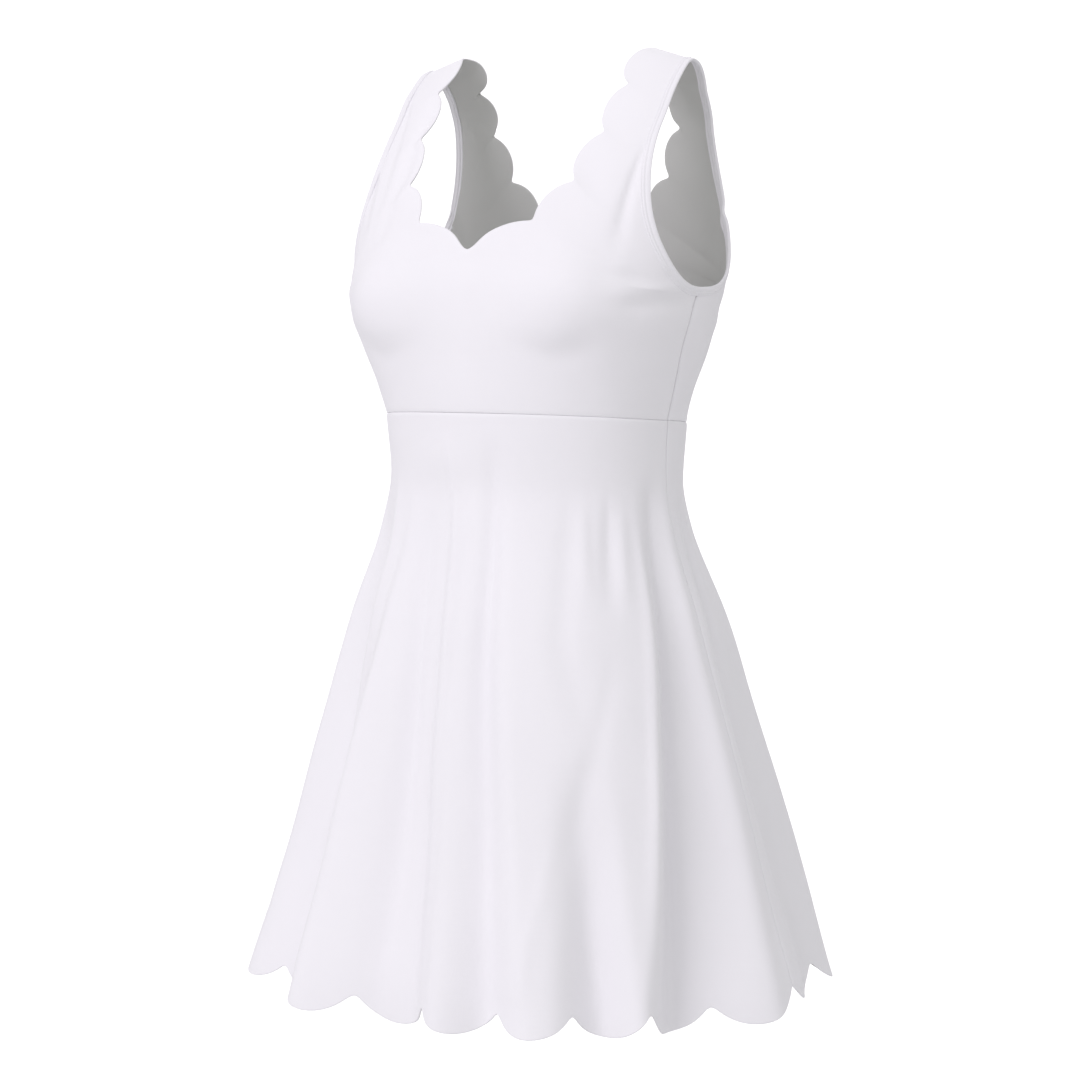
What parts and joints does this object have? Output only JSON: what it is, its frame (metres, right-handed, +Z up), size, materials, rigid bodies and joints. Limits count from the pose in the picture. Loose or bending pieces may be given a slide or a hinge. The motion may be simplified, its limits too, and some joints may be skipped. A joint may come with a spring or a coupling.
{
  "type": "sleeveless dress",
  "caption": "Sleeveless tennis dress with scalloped V necks, bound armholes, a waist seam and a flared skirt with deep soft folds and a scalloped hem.",
  "frame": {"origin": "midway between the two straps, level with their tops, where the dress hangs", "axes": "+Z up, the front of the dress faces -Y, the wearer's left is +X"},
  "size_m": [0.5103, 0.4368, 0.7897],
  "materials": {
    "white_knit": "smooth matte double knit, white with a slight lilac cast",
    "binding_knit": "the same knit folded into a narrow stitched band"
  },
  "bodies": {
    "root": {"front_bodice": "white_knit", "back_bodice": "white_knit", "front_skirt": "white_knit", "back_skirt": "white_knit", "armhole_binding_left": "binding_knit", "armhole_binding_right": "binding_knit"}
  },
  "joints": []
}
